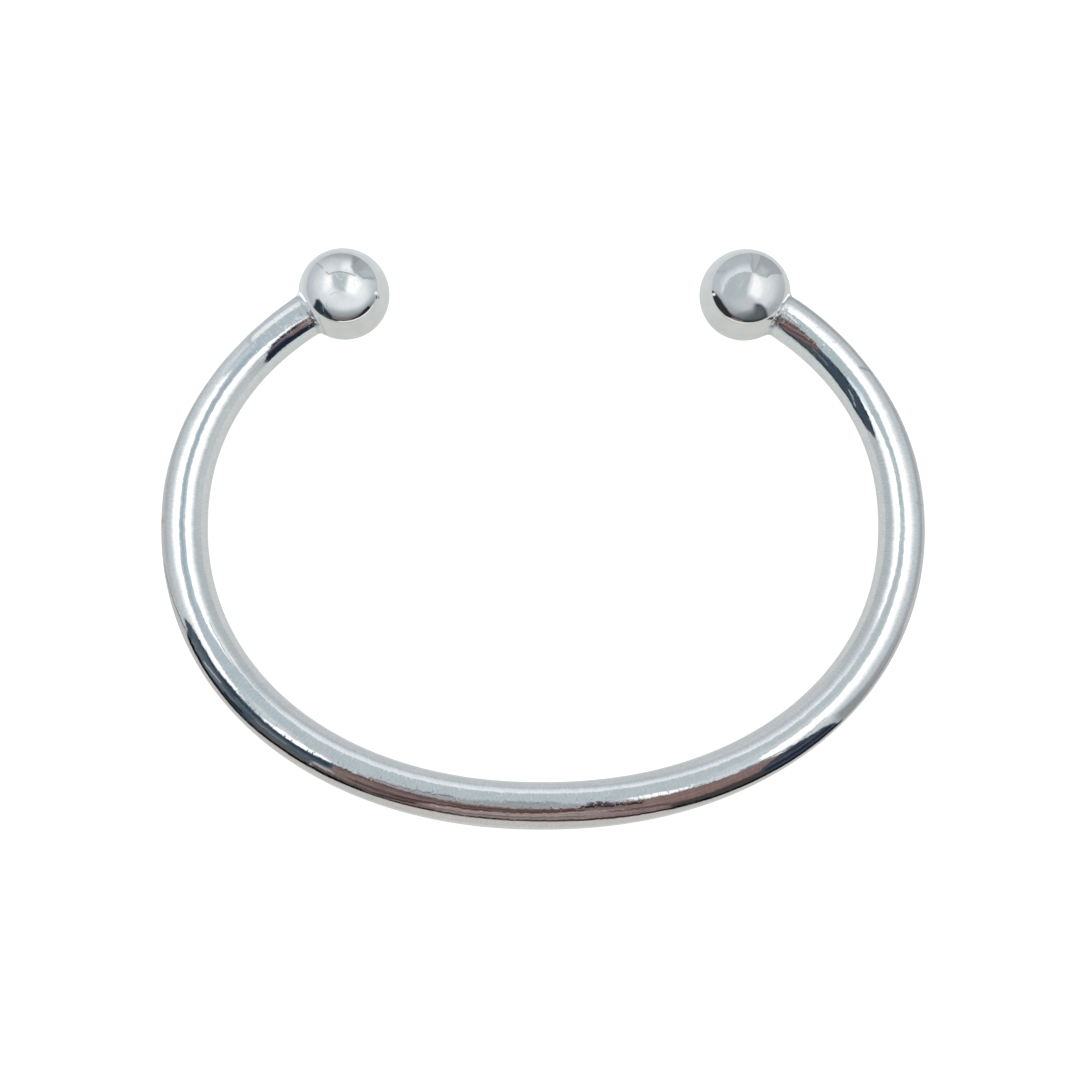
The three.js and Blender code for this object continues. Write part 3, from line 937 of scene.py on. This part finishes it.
def paint_right_ball(x, y):
    """The right ball's painted reflection."""
    paint = Paint(x, y, (187, 194, 199))
    rings = paint.placed_by(*polar(x, y, (0.075, 0.15), (0.79, 0.74)))

    # The pale top, with a lamp beside the grey round
    paint.patch((177, 185, 191), (
        (-0.8, 0.45), (-0.55, 0.75), (-0.3, 0.95), (0.1, 1), (0.12, 0.72), (-0.1, 0.66), (-0.3, 0.57),
        (-0.42, 0.47), (-0.6, 0.4),
    ), 0.09)
    paint.patch((221, 228, 232), (
        (-0.52, 0.05), (-0.5, 0.28), (-0.37, 0.45), (-0.15, 0.58), (0.08, 0.62), (0.17, 0.47), (0, 0.45),
        (-0.2, 0.4), (-0.35, 0.3), (-0.42, 0.1),
    ), 0.09)
    paint.spot((176, 184, 188), (0.78, 0), (0.14, 0.42), soft=0.7)
    paint.spot((223, 229, 232), (0.38, 0.14), (0.27, 0.42), soft=0.8)
    paint.patch((179, 188, 191), (
        (-0.45, 0.03), (-0.41, 0.22), (-0.3, 0.36), (-0.15, 0.45), (0, 0.485), (0.14, 0.465), (0.09, 0.3),
        (0.03, 0.14), (0.03, -0.1), (0, -0.3), (-0.2, -0.3), (-0.38, -0.12),
    ), 0.025)
    paint.spot((190, 194, 198), (-0.05, -0.2), (0.3, 0.14), soft=0.7)
    paint.line((160, 168, 172), (
        (-0.45, 0.03), (-0.41, 0.22), (-0.3, 0.36), (-0.15, 0.45), (0, 0.485), (0.14, 0.465),
    ), 0.006, 0.016)
    paint.patch((254, 254, 254), (
        (0.18, 0.46), (0.27, 0.43), (0.35, 0.3), (0.37, 0.1), (0.33, -0.04), (0.24, -0.07), (0.1, 0.02),
        (0.1, 0.1), (0.14, 0.25),
    ), 0.07)

    # The grey shapes on the right
    paint.patch((178, 186, 188), ((0.08, 1), (0.33, 0.95), (0.3, 0.75), (0.17, 0.5), (0.12, 0.65)), 0.04)
    paint.patch((163, 168, 172), (
        (0.34, 1), (0.6, 0.85), (0.8, 0.6), (0.9, 0.42), (0.68, 0.46), (0.55, 0.44), (0.45, 0.37),
        (0.3, 0.42), (0.2, 0.49), (0.3, 0.72),
    ), 0.03)
    paint.patch((186, 193, 195), ((0.21, 0.47), (0.34, 0.62), (0.5, 0.52), (0.44, 0.4), (0.3, 0.43)), 0.07)
    paint.patch((152, 157, 162), (
        (0.5, 0.95), (0.8, 0.75), (0.86, 0.5), (0.74, 0.5), (0.66, 0.62), (0.5, 0.76),
    ), 0.05)
    paint.line((158, 165, 169), ((0.1, 0.92), (0.15, 0.78), (0.13, 0.62), (0.17, 0.48)), 0.02, 0.03)
    paint.line((134, 141, 144), ((0.38, 0.9), (0.31, 0.73), (0.23, 0.57), (0.19, 0.48)), 0.008, 0.014)
    paint.line((134, 141, 145), ((0.45, 0.37), (0.55, 0.44), (0.68, 0.46), (0.84, 0.44)), 0.008, 0.014)
    paint.line((150, 157, 164), ((-0.68, 0.46), (-0.62, 0.5), (-0.52, 0.49), (-0.42, 0.51)), 0.008, 0.018)
    paint.patch((184, 192, 198), (
        (-0.72, 0.45), (-0.55, 0.46), (-0.53, 0.2), (-0.56, 0.02), (-0.76, 0.02), (-0.8, 0.2),
    ), 0.05)

    # The dark low down, and its grey edge
    rings.ring((158, 163, 167), (
        (190, 0.84, 1.1), (215, 0.72, 1.1), (270, 0.7, 1.1), (310, 0.75, 1.1), (335, 0.8, 1.1),
    ), (0.14, 0.1), (8, 20))
    paint.patch((140, 146, 150), (
        (0.2, -0.2), (0.3, -0.2), (0.4, -0.27), (0.47, -0.38), (0.475, -0.5), (0.42, -0.58), (0.3, -0.64),
        (-0.35, -0.62), (-0.25, -0.48), (0, -0.38), (0.16, -0.3),
    ), 0.07)
    paint.spot((112, 118, 122), (0.06, -0.54), (0.36, 0.14), soft=0.8)
    paint.patch((92, 98, 103), (
        (0.24, -0.21), (0.32, -0.22), (0.4, -0.28), (0.47, -0.38), (0.475, -0.5), (0.42, -0.58),
        (0.3, -0.64), (-0.1, -0.66), (0, -0.52), (0.2, -0.38),
    ), 0.06)
    rings.ring((88, 92, 96), (
        (188, 0.93, 1.1), (200, 0.85, 1.1), (220, 0.86, 1.1), (250, 0.88, 1.1), (275, 0.88, 1.1),
        (300, 0.85, 1.1), (304, 0.8, 1.1),
    ), (0.06, 0.1), (3, 2))
    rings.ring((46, 48, 52), (
        (184, 0.97, 1.1), (192, 0.88, 1.1), (205, 0.81, 1.1), (225, 0.82, 1.1), (240, 0.89, 1.1),
        (250, 0.94, 1.1),
    ), (0.03, 0.1), (1, 3))
    rings.ring((128, 115, 112), ((242, 0.95, 1.1), (250, 0.935, 1.1), (268, 0.94, 1.1)), (0.015, 0.1), (2, 3))
    rings.ring((44, 46, 50), (
        (250, 0.915, 0.935), (262, 0.93, 0.95), (272, 0.94, 1.1), (285, 0.95, 1.1), (294, 0.95, 1.1),
    ), (0.015, 0.02), (3, 3))
    paint.line((56, 63, 69), (
        (0.26, -0.21), (0.36, -0.24), (0.43, -0.33), (0.455, -0.43), (0.44, -0.51),
    ), 0.03, 0.05)
    paint.line((52, 57, 62), ((0.44, -0.5), (0.36, -0.56), (0.2, -0.58), (0, -0.6)), 0.06, 0.06)

    # The floor
    rings.ring(FLOOR_GREY, ((-5, 1.0, 9), (365, 1.0, 9)), (0.012, 1), (1, 1))
    rings.ring((150, 158, 162), (
        (60, 0.985, 1.01), (90, 0.985, 1.01), (150, 0.99, 1.005),
    ), (0.012, 0.012), (10, 20))
    rings.ring((244, 243, 238), (
        (236, 0.995, 1.02), (262, 1.0, 1.025), (278, 1.0, 1.02),
    ), (0.01, 0.014), (3, 8))
    rings.ring((176, 179, 173), (
        (205, 1.03, 1.045), (240, 1.04, 1.055), (275, 1.04, 1.055),
    ), (0.01, 0.016), (8, 10))
    rings.ring((205, 209, 209), ((-30, 1.0, 9), (215, 1.0, 9)), (0.012, 1), (25, 25))
    rings.ring((212, 217, 221), ((10, 1.1, 9), (90, 1.06, 9), (170, 1.1, 9)), (0.05, 1), (20, 30))
    paint.patch((62, 65, 72), (
        (0.49, -0.53), (0.56, -0.48), (0.63, -0.46), (0.72, -0.49), (0.68, -0.55), (0.58, -0.53),
    ), 0.015)
    paint.patch((181, 182, 185), ((0.63, -0.58), (0.9, -0.6), (0.8, -1), (0.46, -0.95)), 0.03)
    paint.line((160, 162, 164), ((0.62, -0.58), (0.56, -0.72), (0.45, -0.88)), 0.015, 0.03)
    # A painted highlight beside the wire's joint
    paint.spot((255, 255, 255), (-0.665, 0.015), (0.04, 0.03), soft=0.5)
    return paint.colour


def make_shell(name, centre, wire_way, painter):
    """The card round a ball. Each of its points stands where the camera sees it mirrored in the ball."""
    towards = (CAMERA_PLACE - centre).normalized()
    right = (Vector((1, 0, 0)) - towards.x * towards).normalized()
    up = towards.cross(right)
    reach = np.sin(np.radians(np.linspace(0.0, SHELL_REACH, SHELL_RINGS)))[:, None]
    turns = np.radians(np.arange(0, 360, SHELL_TURN_STEP))[None, :]
    x, y = reach * np.cos(turns), reach * np.sin(turns)
    height = np.sqrt(1 - x * x - y * y)
    axes = ((x, right), (y, up), (height, towards))
    normals = sum(share[..., None] * np.array(axis) for share, axis in axes)
    ways = bounced(np.array(centre) + normals * BALL_RADIUS, normals)
    out = to_radius(BALL_RADIUS * dot(normals, ways), 1.0, BALL_RADIUS, SHELL_RADIUS)
    offsets = normals * BALL_RADIUS + ways * out
    beside = np.cross(offsets, np.array(wire_way))
    in_hole = (np.linalg.norm(beside, axis=-1) < SHELL_HOLE) & (dot(offsets, np.array(wire_way))[..., 0] > 0)
    painted_card(name, np.array(centre) + offsets, painter(x, y), closed=True, left_out=in_hole)


def make_floor():
    """The pale floor, and a light grey card in its place that only the silver sees."""
    paper = bpy.data.materials.new("floor_paper")
    paper.use_nodes = True
    shader = paper.node_tree.nodes["Principled BSDF"]
    shader.inputs["Base Color"].default_value = (0.9, 0.9, 0.9, 1)
    shader.inputs["Roughness"].default_value = 0.9
    shader.inputs["Emission Color"].default_value = (1, 1, 1, 1)
    shader.inputs["Emission Strength"].default_value = 0.55
    floor = stage_object("floor", plate("floor", FLOOR_HALF * MM), paper)
    floor.visible_glossy = False

    sides = (-FLOOR_HALF, FLOOR_HALF)
    corners = np.array([[(x, y, -FLOOR_CARD_DROP) for x in sides] for y in sides])
    painted_card("floor_card", corners, np.full((2, 2, 3), FLOOR_GREY, float))


def make_world():
    """An even pale surround."""
    world = bpy.data.worlds.new("studio")
    world.use_nodes = True
    bpy.context.scene.world = world
    back = world.node_tree.nodes["Background"]
    back.inputs["Color"].default_value = opaque(SURROUND)
    back.inputs["Strength"].default_value = 1.0


def make_camera():
    data = bpy.data.cameras.new("camera")
    data.sensor_width = SENSOR_WIDTH
    data.lens = FOCAL_PIXELS / PHOTO_SIDE * SENSOR_WIDTH
    data.clip_start = 0.001
    camera = bpy.data.objects.new("camera", data)
    bpy.context.scene.collection.objects.link(camera)
    camera.location = CAMERA_PLACE * MM
    camera.rotation_euler = CAMERA_TURNED
    bpy.context.scene.camera = camera


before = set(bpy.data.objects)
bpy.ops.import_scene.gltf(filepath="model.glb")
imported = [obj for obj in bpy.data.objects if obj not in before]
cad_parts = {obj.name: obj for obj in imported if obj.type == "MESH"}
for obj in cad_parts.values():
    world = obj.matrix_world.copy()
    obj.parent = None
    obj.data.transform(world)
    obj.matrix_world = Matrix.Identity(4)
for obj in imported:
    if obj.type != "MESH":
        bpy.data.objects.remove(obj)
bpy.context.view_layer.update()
bpy.context.scene.view_settings.view_transform = "Standard"

make_camera()
centreline = Centreline()
lying = make_bangle(centreline)
make_floor()
make_world()
make_sleeve(centreline, lying)
for name, end, wire_start, painter in (
    ("left_ball_shell", 0.0, BALL_RADIUS, paint_left_ball),
    ("right_ball_shell", centreline.length, centreline.length - BALL_RADIUS, paint_right_ball),
):
    ball = lying @ centreline.at(end)
    make_shell(name, ball, (lying @ centreline.at(wire_start) - ball).normalized(), painter)
